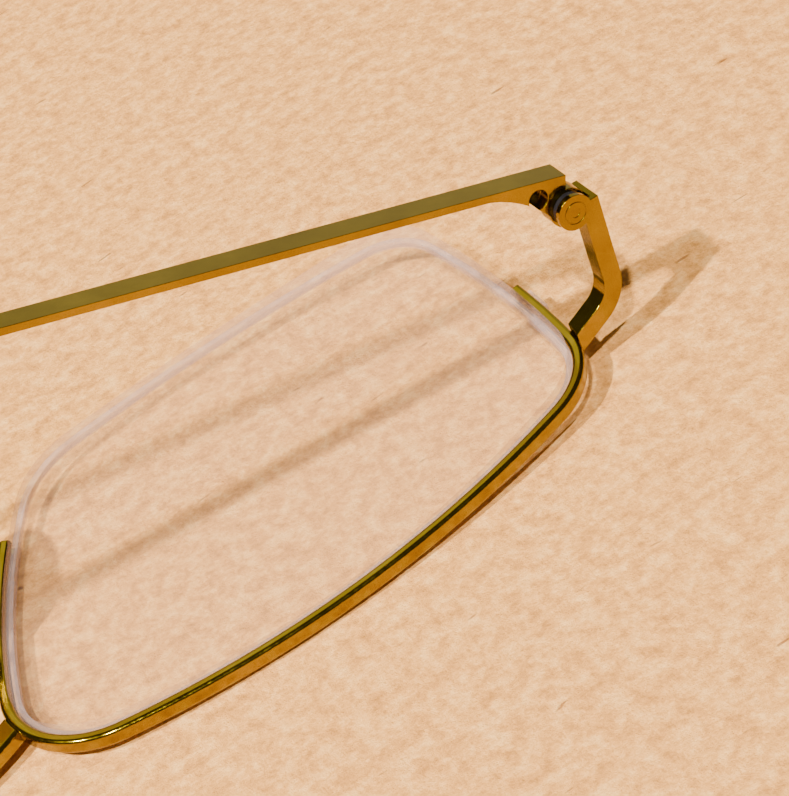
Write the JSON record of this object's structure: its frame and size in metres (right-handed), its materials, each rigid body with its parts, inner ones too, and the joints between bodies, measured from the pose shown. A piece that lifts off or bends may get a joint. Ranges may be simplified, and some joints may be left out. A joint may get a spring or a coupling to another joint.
{
  "type": "half-rim eyeglasses",
  "caption": "Half-rim spectacles with a gold metal brow rim, nylon-held clear lenses, hinged folding temples and rocking nose pads.",
  "frame": {"origin": "on the surface that the spectacles lie on, midway between the two lens centres", "axes": "+X towards the wearer's left temple, +Y from brow to chin, +Z away from the surface, from the lens fronts towards the wearer's face"},
  "size_m": [0.1373, 0.0369, 0.1461],
  "materials": {
    "gold_metal": "polished",
    "lens_glass": "clear",
    "clear_nylon": "translucent",
    "dark_washer": "gloss",
    "temple_tip": "gloss",
    "silicone": "translucent"
  },
  "bodies": {
    "front": {"bridge": "gold_metal", "left_lens": "lens_glass", "left_half_rim": "gold_metal", "left_rim_liner": "clear_nylon", "left_nylon_cord": "clear_nylon", "left_endpiece": "gold_metal", "left_hinge_screw": "gold_metal", "left_hinge_washer": "dark_washer", "left_pad_arm": "gold_metal", "left_pad_screw": "gold_metal", "right_lens": "lens_glass", "right_half_rim": "gold_metal", "right_rim_liner": "clear_nylon", "right_nylon_cord": "clear_nylon", "right_endpiece": "gold_metal", "right_hinge_screw": "gold_metal", "right_hinge_washer": "dark_washer", "right_pad_arm": "gold_metal", "right_pad_screw": "gold_metal"},
    "left_temple_arm": {"left_temple": "gold_metal", "left_temple_tip": "temple_tip"},
    "left_pad": {"left_nose_pad": "silicone", "left_pad_insert": "gold_metal"},
    "right_temple_arm": {"right_temple": "gold_metal", "right_temple_tip": "temple_tip"},
    "right_pad": {"right_nose_pad": "silicone", "right_pad_insert": "gold_metal"}
  },
  "joints": [
    {"name": "left_temple_fold", "type": "hinge", "parent": "front", "child": "left_temple_arm", "pos_m": [0.06574, -0.0098, 0.01435], "axis": [0, 1, 0], "range_deg": [-19.6, 70.4]},
    {"name": "right_temple_fold", "type": "hinge", "parent": "front", "child": "right_temple_arm", "pos_m": [-0.06574, -0.0098, 0.01435], "axis": [0, -1, 0], "range_deg": [-38, 0]},
    {"name": "left_pad_rock", "type": "hinge", "parent": "front", "child": "left_pad", "pos_m": [0.01133, 0.00293, 0.00925], "axis": [-0.6157, 0, -0.788], "range_deg": [-10, 10]},
    {"name": "right_pad_rock", "type": "hinge", "parent": "front", "child": "right_pad", "pos_m": [-0.01133, 0.00293, 0.00925], "axis": [-0.6157, 0, 0.788], "range_deg": [-10, 10]}
  ]
}
